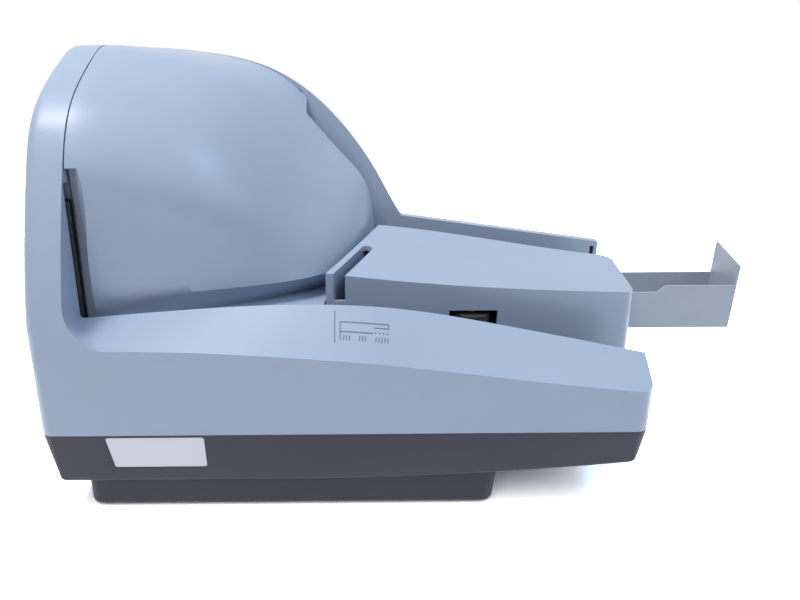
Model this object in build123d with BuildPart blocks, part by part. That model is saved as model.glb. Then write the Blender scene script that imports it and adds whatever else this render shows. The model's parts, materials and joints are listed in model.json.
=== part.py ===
"""Desk-top document scanner with a U-shaped paper track. Millimetres, +X right, +Y back, +Z up."""
from build123d import *
from math import atan2, cos, degrees, hypot, radians, sin
import os

os.makedirs("parts", exist_ok=True)

# Overall sizes, from a datum just inside the front left corner. Every piece is centred when it is written
tray_end = 334.0
left_face = -2.0
body_depth = 144.0
front_length = 248.0
end_slant = 20.0
rear_length = front_length + end_slant
body_height = 191.0
wall = 2.5
corner_radius = 6.0
end_radius = 6.0
seam_gap = 0.6
fit_gap = 0.3
bore_gap = 0.05

# Base: feet, bottom cover and dark lower housing
foot_proud = 1.0
foot_radius = 7.0
foot_depth = 3.0
plinth_left = 12.0
plinth_right = 192.0
plinth_slope = 5.0
plinth_inset = 6.0
plinth_floor = 4.0
plinth_top = 13.3
seam_height = 38.0
housing_draft = 5.0
housing_round = 3.0
plinth_round = 2.5
bottom_flat = 95.0
bottom_rise = 11.0
skew = end_slant / body_depth

# Track: a deck inside the casing, a slot, a tight turn at the left end and a straight at the back
track_floor = 43.7
floor_skin = 2.5
rail_depth = 20.0
slot_width = 5.0
slot_back = rail_depth + slot_width
track_gap = 2.4
guide_wall = 1.2
turn_radius = 12.0
turn_lean = 1.3
guide_top = 131.0
front_track = rail_depth + slot_width / 2
rear_track = body_depth - 18.4
left_track = left_face + wall + fit_gap + guide_wall + track_gap / 2
guide_end = 103.0

# Heights of the front rail along its length: at the skirt's crease, and at its inner edge
crease_curve = [(0, 74), (0.26, 74.3), (0.42, 71.6), (0.58, 67.7), (0.74, 62.4), (0.88, 58), (1, 54.8)]
inner_curve = [(0, 81), (0.2, 84.8), (0.42, 87.3), (0.58, 85.1), (0.74, 78), (0.88, 70.6), (1, 64)]

# Covers
cap_width = 14.0
cap_round = 5.0
mouth_top = 138.0
lead_in_top = 143.5
lead_in_low = 98.0
lead_in_width = 4.6
lead_in_depth = 3.8
corner_rise = 20.0
rim_depth = 12.0
rim_front = body_depth - rim_depth
channel_left = 104.0
channel_front = body_depth - 25.0
deck_top = 80.0
crease_height = 90.0
dome_left = cap_width + seam_gap
deck_left = cap_width + 4.5
dome_right = 150.0
dome_tip = 28.0
wall_knee = 155.0
knee_height = 101.5
wall_end_height = 85.0
island_front = 46.0
island_rear = body_depth - 43.0
island_left_front = 115.0
island_left_rear = 141.0
notch_width = 5.0
notch_rim = 3.0
notch_length = 35.0

# Exit tray that slides out of the rear pocket
tray_left = 232.0
tray_front = island_rear + 2.4
tray_rear = rim_front - 1.4
tray_wall = 1.2
tray_height = 24.0
tray_lean = 2.0
tray_step = 291.0
rib_wall = 1.2
rib_height = 8.0

# Rollers, shafts and belts
roller_radius = 9.0
roller_low = 49.0
roller_height = 24.0
shaft_radius = 3.0
shaft_low = 26.0
pulley_radius = 9.0
motor_pulley_radius = 6.0
pulley_low = 28.0
pulley_height = 6.0
flange = 0.8
belt_thickness = 1.4
bush_radius = 5.0
bush_flange = 1.5
pinch_radius = 5.0
axle_radius = 1.5
contact_gap = 0.25
boss_height = 4.0

drive_front = (60.0, front_track + contact_gap + roller_radius)
drive_left = (40.0, rear_track - contact_gap - roller_radius)
drive_right = (92.0, rear_track - contact_gap - roller_radius)
motor_spot = (43.5, 74.0)
feed_spot = (182.0, island_front - 2.0 + roller_radius)
feed_motor_spot = (207.0, 72.0)
pinch_front = (drive_front[0], front_track - contact_gap - pinch_radius)
pinch_left = (drive_left[0], rear_track + contact_gap + pinch_radius)
pinch_right = (drive_right[0], rear_track + contact_gap + pinch_radius)
head_spot = (100.0, front_track + contact_gap + pinch_radius)
motor_radius = 18.0
motor_height = 38.0
feed_motor_radius = 12.0
feed_motor_height = 24.0
motor_stand = 2.0

# Reading heads and print cartridge
head_width = 12.0
head_height = 15.0
head_left = 94.0
magnet_left = 74.0
sensor_width = 13.0
sensor_height = 86.0
inner_sensor_left = 53.0
outer_sensor_left = 67.5
glass_thickness = 1.0
cartridge = (26.0, 24.0, 38.0)
cartridge_corner = (150.0, island_rear - 25.0)

# Pusher that presses the documents on the feed roller
pusher_pivot = (222.0, 23.8)
pusher_length = 44.0
pusher_height = 20.0
pusher_angle = 22.8
pusher_plate = 2.0
pad_thickness = 2.0

# Hinge of the island cover, along its slanted right end
hinge_inset = 5.5
hinge_height = 52.5
ear_radius = 4.2
ear_width = 3.0
post_width = 3.0
post_radius = 2.6
hinge_seats = (6.0, island_rear - island_front - 12.0)

# Electronics
board_left = 118.0
board_right = 204.0
board_front = 64.0
board_rear = body_depth - 10.0
board_low = 21.0
board_thickness = 1.6
screw_radius = 1.5
screw_head = 2.8
boss_radius = 3.8
label_thickness = 0.5
label_recess = 0.6
label_corners = [(25, -1.2), (65.5, -1.2), (65.5, -16.5), (27, -16.5)]
base_screws = [(across, back) for across in (48, plinth_right - 36) for back in (24, body_depth - 24)]
foot_spots = [(across, back) for across in (30, plinth_right - 18) for back in (22, body_depth - 22)]
deck_screws = [
    (12, 12),
    (12, body_depth - 12),
    (120, 12),
    (112, body_depth - 6.6),
    (front_length - 12, 12),
    (rear_length - 18, body_depth - 6.6),
]
board_screws = [
    (across, back)
    for across in (board_left + 5, board_right - 5)
    for back in (board_front + 5, board_rear - 5)
]


def right_edge(across_depth, inset):
    """Right edge of the casing at a distance from the front, moved inwards by inset."""
    return front_length + skew * across_depth - inset * hypot(1, skew)


def plan_outline(inset):
    """Casing outline seen from above, moved inwards by inset."""
    back = body_depth - inset
    with BuildSketch() as sketch:
        with BuildLine():
            Polyline(
                (left_face + inset, inset),
                (right_edge(inset, inset), inset),
                (right_edge(back, inset), back),
                (left_face + inset, back),
                close=True,
            )
        make_face()
        fillet(sketch.vertices().sort_by(Axis.X)[-2:], max(end_radius - inset, 1))
        fillet(sketch.vertices().group_by(Axis.X)[0], max(corner_radius - inset, 1))
    return sketch.sketch


def casing_block(inset, low, high):
    """Block with the casing's plan, from one height to another."""
    face = plan_outline(inset)
    with BuildPart() as block:
        with BuildSketch(Plane.XY.offset(low)):
            add(face)
        extrude(amount=high - low)
    return block.part


def housing_form(inset, low):
    """Lower housing's tapered form, wide at the seam and drawn in towards its bottom."""
    top = plan_outline(inset)
    bottom = plan_outline(inset + housing_draft)
    with BuildPart() as form:
        with BuildSketch(Plane.XY.offset(seam_height)):
            add(top)
        with BuildSketch(Plane.XY.offset(low)):
            add(bottom)
        loft(ruled=True)
    return form.part


def under_bottom(raised):
    """Everything below the housing's bottom line, which is flat and then rises to the right."""
    height = plinth_top + raised
    left = left_face - wall
    with BuildPart() as block:
        with BuildSketch(Plane.XZ):
            with BuildLine():
                flat = Line((left, height), (bottom_flat, height))
                rise = TangentArc(flat @ 1, (rear_length + wall, height + bottom_rise), tangent=(1, 0))
                Polyline(rise @ 1, (rear_length + wall, -wall), (left, -wall), flat @ 0)
            make_face()
        extrude(amount=2 * body_depth, both=True)
    return block.part


def box(left, right, front, back, low, high):
    """Box between two corners."""
    block = Box(right - left, back - front, high - low, align=(Align.MIN,) * 3, mode=Mode.PRIVATE)
    return Pos(left, front, low) * block


def post(spot, radius, low, high):
    """Upright cylinder at a place in the plan."""
    upright = (Align.CENTER, Align.CENTER, Align.MIN)
    return Pos(spot[0], spot[1], low) * Cylinder(radius, high - low, align=upright, mode=Mode.PRIVATE)


def inward(points, distance):
    """Profile points moved by a distance to the right of their direction of travel."""
    moved = []
    for i, (a, b) in enumerate(points):
        before = points[max(i - 1, 0)]
        after = points[min(i + 1, len(points) - 1)]
        run, rise = after[0] - before[0], after[1] - before[1]
        size = hypot(run, rise)
        moved.append((a + distance * rise / size, b - distance * run / size))
    return moved


# Front curve of the left end, from the skirt to the flat top
cap_front = [
    (0, 0.40 * body_height),
    (2.4, 0.48 * body_height),
    (20.4, 0.74 * body_height),
    (31, 0.84 * body_height),
    (52, 0.924 * body_height),
    (76, 0.983 * body_height),
    (96, body_height),
]
cap_curve = Spline(*cap_front, tangents=((0, 1), (1, 0)))


def cap_profile(inset):
    """Side profile of the left end: upright skirt, front leaning back, rounded shoulder, flat top."""
    front = inward(cap_front, inset)
    back = body_depth - inset
    with BuildSketch(Plane.YZ) as sketch:
        with BuildLine():
            foot = Line((inset, seam_height), (inset, front[0][1]))
            end = (front[-1][0], body_height - inset)
            curve = Spline(foot @ 1, *front[1:-1], end, tangents=((0, 1), (1, 0)))
            top = Line(curve @ 1, (back - cap_round, body_height - inset))
            shoulder = TangentArc(top @ 1, (back, body_height - inset - cap_round), tangent=(1, 0))
            Polyline(shoulder @ 1, (back, seam_height), foot @ 0)
        make_face()
    return sketch.sketch


def cap_form(inset, right):
    """Left end of the casing: its side profile, rounded over towards the left face."""
    steps = [0, 30, 60, 90]
    sections = []
    for angle in steps:
        across = left_face + inset + (cap_round - inset) * (1 - cos(radians(angle)))
        inwards = inset + (cap_round - inset) * (1 - sin(radians(angle)))
        sections.append(Pos(across, 0, 0) * cap_profile(inwards))
    last = sections[-1].faces()[0]
    with BuildPart() as form:
        for section in sections:
            add(section)
        loft()
        extrude(last, amount=right - left_face - cap_round, dir=(1, 0, 0))
    return form.part


def ridge_points(low):
    """Top line of the rear rim, from the left end down to the right end, lowered by low."""
    return [
        (dome_left, body_height - low),
        (51, 0.987 * body_height - low),
        (85, 0.944 * body_height - low),
        (119, 0.814 * body_height - low),
        (143, 0.641 * body_height - low),
        (wall_knee, knee_height - low),
    ]


ridge_curve = Spline(*ridge_points(0), tangents=((1, 0), (1, -1.5)))


def ridge_height(across):
    """Height of the rear rim at a distance from the left end, found by halving along its curve."""
    low, high = 0.0, 1.0
    for _ in range(30):
        middle = (low + high) / 2
        if (ridge_curve @ middle).X < across:
            low = middle
        else:
            high = middle
    return (ridge_curve @ low).Y


def rear_wall(inset, front, back, rounding=0):
    """Rear wall: a slab under the rim's top line, which falls along the dome and then runs flat."""
    start = cap_width - 1
    points = ridge_points(inset)
    end = rear_length + wall - inset
    with BuildPart() as slab:
        with BuildSketch(Plane.XZ.offset(-front)):
            with BuildLine():
                fall = Spline(*points, tangents=((1, 0), (1, -1.5)))
                flat = Line(fall @ 1, (end, wall_end_height - inset))
                Polyline(flat @ 1, (end, seam_height), (start, seam_height))
                Polyline((start, seam_height), (start, body_height - inset), fall @ 0)
            make_face()
        extrude(amount=front - back)
        if rounding:
            rear_edges = slab.edges().group_by(Axis.Y)[-1].filter_by(Axis.Z, reverse=True)
            fillet(rear_edges.sort_by(Axis.Z)[1:], rounding)
    return slab.part


def rail_form(inset):
    """Front rail: its top slopes down to the front, and its height falls away to the right."""
    left = left_face + inset
    right = front_length + end_radius - inset
    with BuildPart() as form:
        for across_depth, curve, drop in (
            (inset, crease_curve, inset),
            (rail_depth - inset, inner_curve, 1.2 * inset),
        ):
            with BuildSketch(Plane.XZ.offset(-across_depth)):
                with BuildLine():
                    top = Spline(*[(left + share * (right - left), height - drop) for share, height in curve])
                    Polyline(top @ 1, (right, seam_height), (left, seam_height), top @ 0)
                make_face()
        loft(ruled=True)
    return form.part


def corner_form():
    """Hollowed corner between the left end and the rail, wide at the front and sharp at the slot."""
    inner_start = inner_curve[0][1]
    with BuildPart() as form:
        for across_depth, foot, rise in (
            (0, crease_curve[0][1], corner_rise),
            (rail_depth, inner_start + 1.2, 1.5),
        ):
            with BuildSketch(Plane.XZ.offset(-across_depth)):
                with BuildLine():
                    hollow = RadiusArc((cap_width, foot + rise), (cap_width + rise, foot), -rise)
                    Polyline(
                        hollow @ 1,
                        (cap_width + rise, foot - 4),
                        (cap_width - 1, foot - 4),
                        (cap_width - 1, foot + rise),
                        hollow @ 0,
                    )
                make_face()
        loft(ruled=True)
        extrude(cap_profile(0).faces()[0], amount=rear_length, dir=(1, 0, 0), mode=Mode.INTERSECT)
    return form.part


# Dome stations: across, base and crease as shares of the dome's depth, roundness, drop below the rim
dome_back = rim_front - seam_gap
dome_stations = [
    (dome_left, 0.194, 0.181, 0.0, 0.0),
    (22, 0.203, 0.187, 0.02, 0.0),
    (32, 0.216, 0.196, 0.07, 0.0),
    (45, 0.236, 0.209, 0.15, 0.0),
    (75, 0.327, 0.266, 0.45, 0.3),
    (100, 0.449, 0.346, 0.95, 2.8),
    (120, 0.594, 0.483, 1.0, 8.0),
    (136, 0.807, 0.757, 1.0, 6.5),
    (dome_right, 0.974, 0.963, 1.0, 5.0),
]

# Front curve of the dome's sections, as shares of their depth and height: flush with the left end
# at the first station, and rounder further right
cap_samples = [cap_curve @ place for place in (0.47, 0.5, 0.6, 0.7, 0.8, 0.9, 1.0)]
crease_start = dome_stations[0][2] * dome_back
square_curve = [
    (
        (sample.X - crease_start) / (dome_back - crease_start),
        (sample.Y - crease_height) / (body_height - crease_height),
    )
    for sample in cap_samples
]
square_curve.append((0.85, 1.0))
round_curve = [
    (0.05, 0.15),
    (0.10, 0.26),
    (0.22, 0.43),
    (0.35, 0.575),
    (0.50, 0.70),
    (0.66, 0.805),
    (0.81, 0.885),
    (0.92, 0.948),
]


def dome_section(station, inset, back):
    """One upright section through the dome."""
    across, base_share, crease_share, roundness, drop = station
    base = base_share * dome_back
    crease = crease_share * dome_back
    top = ridge_height(across) - drop
    points = [(crease, crease_height)]
    for (a0, b0), (a1, b1) in zip(square_curve, round_curve):
        share = a0 + (a1 - a0) * roundness
        rise = b0 + (b1 - b0) * roundness
        points.append((crease + share * (back - crease), crease_height + rise * (top - crease_height)))
    points.append((back, top))
    curve = [(base, deck_top)] + points
    moved = inward(curve, inset)
    moved[-1] = (back, top - inset)
    with BuildSketch(Plane.YZ.offset(across)) as sketch:
        with BuildLine():
            undercut = Line((moved[0][0], deck_top), moved[1])
            start_way = Vector(*moved[2]) - Vector(*moved[1])
            end_way = (1, 0.55 * roundness)
            front = Spline(*moved[1:], tangents=(start_way, end_way))
            Polyline(front @ 1, (back, deck_top), undercut @ 0)
        make_face()
    return sketch.sketch


def dome_form(inset, back):
    """Dome as a solid below the rim's line, moved inwards by inset and reaching to a depth at the back."""
    stations = dome_stations[:-1] if inset else dome_stations
    sections = [dome_section(station, inset, back) for station in stations]
    with BuildPart() as form:
        for section in sections:
            add(section)
        loft()
        add(rear_wall(inset, 0, back), mode=Mode.INTERSECT)
    return form.part


def island_edge(back):
    """Left edge of the island at a distance from the front, along the dome's foot."""
    share = (back - island_front) / (island_rear - island_front)
    return island_left_front + share * (island_left_rear - island_left_front)


def island_form(inset, low):
    """Island: a low box whose top falls to the right and rises a little to the back."""
    stations = [(105, 94.5, 104.5), (150, 89, 102), (195, 85.5, 95.5), (rear_length + end_radius, 82.6, 84.5)]
    sections = []
    for across, front_top, rear_top in stations:
        with BuildSketch(Plane.YZ.offset(across)) as section:
            with BuildLine():
                Polyline(
                    (island_front + inset, low),
                    (island_front + inset, front_top - inset),
                    (island_rear - inset, rear_top - inset),
                    (island_rear - inset, low),
                    close=True,
                )
            make_face()
        sections.append(section.sketch)
    left = inset * 1.1
    with BuildPart() as form:
        for section in sections:
            add(section)
        loft()
        with BuildSketch(Plane.XY) as plan:
            with BuildLine():
                Polyline(
                    (island_edge(island_front) + left, island_front),
                    (right_edge(island_front, inset), island_front),
                    (right_edge(island_rear, inset), island_rear),
                    (island_edge(island_rear) + left, island_rear),
                    close=True,
                )
            make_face()
            fillet(plan.vertices().sort_by(Axis.X)[-2:], max(end_radius - inset, 1))
        extrude(amount=body_height, mode=Mode.INTERSECT)
    return form.part


def track_wall(inside, thickness, end):
    """Plan of a guide wall that follows the track at a distance inside its middle line."""
    near = front_track + inside
    left = left_track + inside
    far = rear_track - inside
    radius = turn_radius - inside
    with BuildSketch() as sketch:
        with BuildLine():
            turn = TangentArc((left + radius, near), (left, near + radius), tangent=(-1, 0))
            side = Line(turn @ 1, (left, far - radius))
            back = TangentArc(side @ 1, (left + radius, far), tangent=(0, 1))
            Line(back @ 1, (end, far))
        trace(line_width=thickness)
    return sketch.sketch


def belt_loop(pulleys, grow):
    """Outline of a belt round its pulleys, a distance outside them."""
    with BuildSketch() as sketch:
        with BuildLine():
            for (across, back), radius in pulleys:
                CenterArc((across, back), radius + grow, 0, 360)
        make_hull()
    return sketch.sketch


def belt_part(pulleys):
    """Flat belt running round its pulleys."""
    outer = belt_loop(pulleys, fit_gap + belt_thickness)
    inner = belt_loop(pulleys, fit_gap)
    with BuildPart() as belt:
        with BuildSketch(Plane.XY.offset(pulley_low + flange + fit_gap)):
            add(outer)
            add(inner, mode=Mode.SUBTRACT)
        extrude(amount=pulley_height - 2 * flange - 2 * fit_gap)
    return belt


pieces = {}

# Bottom cover: a shallow tray that the machine stands on, with the feet let into it
plinth_space = under_bottom(0)
with BuildPart() as bottom_cover:
    with BuildSketch(Plane.XZ.offset(-plinth_inset)):
        with BuildLine():
            Polyline(
                (plinth_left + 1, foot_proud),
                (plinth_right - plinth_slope, foot_proud),
                (plinth_right, seam_height),
                (plinth_left, seam_height),
                close=True,
            )
        make_face()
    extrude(amount=-(body_depth - 2 * plinth_inset))
    fillet(bottom_cover.edges().filter_by(lambda e: e.length > 30 and abs(e.tangent_at(0).Z) > 0.9), 5)
    fillet(bottom_cover.edges().group_by(Axis.Z)[0], plinth_round)
    add(plinth_space, mode=Mode.INTERSECT)
    add(
        box(
            plinth_left + 1 + wall,
            plinth_right - plinth_slope - wall,
            plinth_inset + wall,
            body_depth - plinth_inset - wall,
            foot_proud + plinth_floor,
            seam_height,
        ),
        mode=Mode.SUBTRACT,
    )
    for spot in base_screws:
        add(post(spot, boss_radius, foot_proud + plinth_floor - 1, plinth_top))
        add(post(spot, screw_radius + bore_gap, 0, plinth_top + 1), mode=Mode.SUBTRACT)
        add(post(spot, screw_head + fit_gap, 0, foot_proud + 2), mode=Mode.SUBTRACT)
    for spot in foot_spots:
        add(post(spot, foot_radius + bore_gap, 0, foot_depth), mode=Mode.SUBTRACT)
pieces["bottom_cover"] = bottom_cover

# Feet: four soft discs
with BuildPart() as rubber_feet:
    for spot in foot_spots:
        add(post(spot, foot_radius, 0, foot_depth))
    chamfer(rubber_feet.edges().group_by(Axis.Z)[0], 0.5)
pieces["rubber_feet"] = rubber_feet

# Place of the label plate: a shallow recess in the housing's sloping front face
housing_low = plinth_top - 3.0
label_tilt = degrees(atan2(housing_draft, seam_height - housing_low))
label_plane = Plane(
    origin=(0, label_recess, seam_height),
    x_dir=(1, 0, 0),
    z_dir=(0, -cos(radians(label_tilt)), -sin(radians(label_tilt))),
)
with BuildSketch() as label_sketch:
    with BuildLine():
        Polyline(*label_corners, close=True)
    make_face()
    fillet(label_sketch.vertices(), 1)
label_outline = label_sketch.sketch
with BuildPart() as label_pocket:
    with BuildSketch(label_plane):
        add(offset(label_outline, fit_gap, mode=Mode.PRIVATE))
    extrude(amount=2 * label_thickness)

# Lower housing: a dark tray with the sockets at the back
socket_low = board_low + board_thickness
socket_height = 11.0
socket_back = body_depth - 3.0
power_left = 182.0
power_width = 11.0
data_left = 150.0
data_width = 12.0
housing_outside = housing_form(0, housing_low)
housing_inside = housing_form(wall, housing_low) - under_bottom(wall)
with BuildPart() as housing_tub:
    add(housing_outside - under_bottom(0))
    low_edges = housing_tub.edges().filter_by(lambda e: e.bounding_box().max.Z < seam_height - 1)
    fillet(low_edges, housing_round)
with BuildPart() as lower_housing:
    add(housing_tub.part - housing_inside)
    for spot in deck_screws:
        add(post(spot, boss_radius, plinth_top, seam_height) & (housing_outside - under_bottom(1)))
    for spot in board_screws:
        add(post(spot, boss_radius, plinth_top, board_low) & (housing_outside - under_bottom(1)))
    for spot in base_screws:
        add(post(spot, boss_radius, plinth_top + 1, plinth_top + wall + 3))
    for spot in base_screws:
        add(post(spot, screw_radius + bore_gap, plinth_top - 1, plinth_top + wall + 2), mode=Mode.SUBTRACT)
    for spot in board_screws:
        add(post(spot, screw_radius + bore_gap, board_low - 3.5, board_low + 1), mode=Mode.SUBTRACT)
    for spot in deck_screws:
        add(post(spot, screw_radius + bore_gap, seam_height - 8, seam_height + 1), mode=Mode.SUBTRACT)
    for left, width in ((power_left, power_width), (data_left, data_width)):
        opening = box(
            left - fit_gap,
            left + width + fit_gap,
            body_depth - 12,
            body_depth + 1,
            socket_low - fit_gap,
            socket_low + socket_height + fit_gap,
        )
        add(opening, mode=Mode.SUBTRACT)
    add(label_pocket.part, mode=Mode.SUBTRACT)
pieces["lower_housing"] = lower_housing

# Screws that hold the bottom cover, the deck and the board: pan heads on plain shanks
with BuildPart() as bottom_screws:
    for spot in base_screws:
        add(post(spot, screw_radius, foot_proud + 0.5, plinth_top + wall + 1.5))
        add(post(spot, screw_head, foot_proud + 0.3, foot_proud + 2))
pieces["bottom_screws"] = bottom_screws

with BuildPart() as deck_fasteners:
    for spot in deck_screws:
        add(post(spot, screw_radius, seam_height - 7, track_floor))
        add(post(spot, screw_head, track_floor, track_floor + 1.8))
    chamfer(deck_fasteners.edges().group_by(Axis.Z)[-1], 0.5)
pieces["deck_screws"] = deck_fasteners

with BuildPart() as board_fasteners:
    for spot in board_screws:
        add(post(spot, screw_radius, board_low - 3, socket_low))
        add(post(spot, screw_head, socket_low, socket_low + 1.8))
pieces["board_screws"] = board_fasteners

# Blank label plate on the housing's sloping front face
with BuildPart() as label_plate:
    with BuildSketch(label_plane):
        add(label_outline)
    extrude(amount=label_thickness)
pieces["label_plate"] = label_plate

# Main board with its chips and the two sockets that reach through the housing's back
with BuildPart() as main_board:
    add(box(board_left, board_right, board_front, board_rear, board_low, socket_low))
    for spot in board_screws:
        add(post(spot, screw_radius + bore_gap, board_low - 1, socket_low + 1), mode=Mode.SUBTRACT)
pieces["main_board"] = main_board

with BuildPart() as board_chips:
    for left, front, width, depth, height in (
        (134, 84, 20, 20, 2.0),
        (164, 92, 14, 14, 1.6),
        (186, 84, 10, 18, 1.4),
        (130, 112, 12, 6, 3.0),
        (140, 70, 24, 6, 4.0),
    ):
        add(box(left, left + width, front, front + depth, socket_low, socket_low + height))
    for across in (174, 186):
        add(post((across, 114), 4, socket_low, socket_low + 9))
pieces["board_chips"] = board_chips

with BuildPart() as power_socket:
    add(
        box(
            power_left,
            power_left + power_width,
            body_depth - 14,
            socket_back,
            socket_low,
            socket_low + socket_height,
        )
    )
    socket_mouth = Plane(
        origin=(power_left + power_width / 2, socket_back, socket_low + socket_height / 2), z_dir=(0, 1, 0)
    )
    with BuildSketch(socket_mouth):
        Circle(3.2)
        Circle(1.0, mode=Mode.SUBTRACT)
    extrude(amount=-9, mode=Mode.SUBTRACT)
pieces["power_socket"] = power_socket

with BuildPart() as data_socket:
    add(
        box(
            data_left,
            data_left + data_width,
            body_depth - 16,
            socket_back,
            socket_low,
            socket_low + socket_height,
        )
    )
    data_mouth = (data_left + 1.5, data_left + data_width - 1.5)
    add(
        box(*data_mouth, body_depth - 13, body_depth, socket_low + 1.5, socket_low + socket_height - 1.5),
        mode=Mode.SUBTRACT,
    )
    tongue_low = socket_low + socket_height - 4.0
    add(box(data_left + 3.2, data_left + data_width - 3.2, body_depth - 14, socket_back - 1, tongue_low, tongue_low + 1.8))
pieces["data_socket"] = data_socket

# Track base: an upturned tray whose top is the track's floor, with ribs, posts and shaft holes
base_inset = wall + fit_gap
shaft_spots = [drive_front, drive_left, drive_right, feed_spot]
hinge_dir = Vector(skew, 1, 0).normalized()
hinge_start = Vector(right_edge(island_front, wall) - hinge_inset + wall, island_front + wall, hinge_height)


def hinge_plane(along):
    """Plane square to the cover's hinge line, at a distance along it."""
    return Plane(origin=hinge_start + hinge_dir * along, x_dir=(0, 0, 1), z_dir=hinge_dir)


with BuildPart() as track_base:
    add(casing_block(base_inset, seam_height, track_floor))
    add(
        casing_block(base_inset + 2, seam_height, track_floor - floor_skin),
        mode=Mode.SUBTRACT,
    )
    for spot in deck_screws:
        add(post(spot, boss_radius, seam_height, track_floor - 1))
        add(post(spot, screw_radius + bore_gap, seam_height - 1, track_floor + 1), mode=Mode.SUBTRACT)
    for spot in shaft_spots:
        add(post(spot, bush_radius + bore_gap, seam_height, track_floor + 1), mode=Mode.SUBTRACT)
    for spot in (motor_spot, feed_motor_spot):
        add(post(spot, bush_radius, seam_height, track_floor + 1), mode=Mode.SUBTRACT)
    tray_rib_end = right_edge(tray_front, base_inset) - 2
    for front, back in ((tray_front - fit_gap - rib_wall, tray_front - fit_gap), (tray_rear + fit_gap, rim_front)):
        add(box(168, tray_rib_end, front, back, track_floor - 1, track_floor + rib_height))
    for seat in hinge_seats:
        foot = hinge_plane(seat + ear_width + fit_gap)
        with BuildSketch(foot):
            Circle(post_radius)
            with Locations((-(hinge_height - track_floor + 1) / 2, 0)):
                Rectangle(hinge_height - track_floor + 1, 2 * post_radius)
            Circle(axle_radius + bore_gap, mode=Mode.SUBTRACT)
        extrude(amount=post_width)
pieces["track_base"] = track_base

# Outer cover: left end, front rail and rear wall in one moulding, open underneath
cover_floor = casing_block(base_inset, seam_height - 1, track_floor)
casing_column = casing_block(0, seam_height, body_height + 1)
cover_solid = cap_form(0, cap_width) + rail_form(0) + corner_form() + rear_wall(0, rim_front, body_depth, cap_round)
cover_solid = cover_solid & casing_column
cover_ring = casing_block(0, seam_height, track_floor) - casing_block(wall, seam_height - 1, track_floor + 1)
cap_cavity = cap_form(wall, cap_width - wall)
rail_cavity = rail_form(wall)
rail_hollow = rail_cavity & casing_block(wall, seam_height - 1, body_height)
rear_hollow = rear_wall(wall, rim_front + wall, body_depth - wall, cap_round - wall)
rear_cavity = rear_hollow & casing_block(wall, 0, body_height)
rear_opening = rear_wall(wall, rim_front - 1, body_depth - wall) & box(
    cap_width - wall - 1, channel_left - wall, 0, body_depth, seam_height, body_height
)
head_windows = [
    (pinch_front[0] - 7.5, pinch_front[0] + 7.5, roller_low - 2 + roller_height + 4),
    (head_left - fit_gap, head_left + head_width + fit_gap, track_floor + head_height + fit_gap),
    (magnet_left - fit_gap, magnet_left + head_width + fit_gap, track_floor + head_height + fit_gap),
]
with BuildPart() as outer_cover:
    add(cover_solid + cover_ring)
    add(cap_cavity, mode=Mode.SUBTRACT)
    add(rail_hollow, mode=Mode.SUBTRACT)
    add(rear_cavity, mode=Mode.SUBTRACT)
    add(rear_opening, mode=Mode.SUBTRACT)
    add(cover_floor, mode=Mode.SUBTRACT)
    mouth_front = front_track - track_gap / 2 - guide_wall - fit_gap
    mouth_back = front_track + track_gap / 2 + guide_wall + turn_lean
    add(box(cap_width - wall - 1, cap_width + 1, mouth_front, mouth_back, track_floor, mouth_top), mode=Mode.SUBTRACT)
    exit_front = rear_track - track_gap / 2 - guide_wall - turn_lean
    add(
        box(cap_width - wall - 1, cap_width + 1, exit_front, body_depth - wall, track_floor, mouth_top),
        mode=Mode.SUBTRACT,
    )
    for left, right, top in head_windows:
        add(box(left, right, rail_depth - wall - 1, rail_depth + 1, track_floor, top), mode=Mode.SUBTRACT)
    slit_right = right_edge(rim_front, 0) - 2
    add(
        box(slit_right - 2.2, slit_right, rim_front - 1, rim_front + 4, track_floor, wall_end_height - 2),
        mode=Mode.SUBTRACT,
    )
pieces["outer_cover"] = outer_cover

# Deck frame: the slot's inner wall, the flat deck beside the dome and the dome's seat
deck_right = island_left_front - seam_gap
deck_corner = island_left_front - seam_gap + (channel_front - island_front) * (
    (island_left_rear - island_left_front) / (island_rear - island_front)
)
deck_step = channel_front + wall


def deck_plan(inset):
    """Plan of the deck frame, moved inwards by inset."""
    with BuildSketch() as sketch:
        with BuildLine():
            Polyline(
                (deck_left + inset, slot_back + inset),
                (deck_right - inset, slot_back + inset),
                (deck_right - inset, island_front + inset * 0.2),
                (deck_corner - inset * 2, channel_front - inset),
                (channel_left - inset, channel_front - inset),
                (channel_left - inset, deck_step - inset),
                (deck_left + inset, deck_step - inset),
                close=True,
            )
        make_face()
    return sketch.sketch


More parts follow.
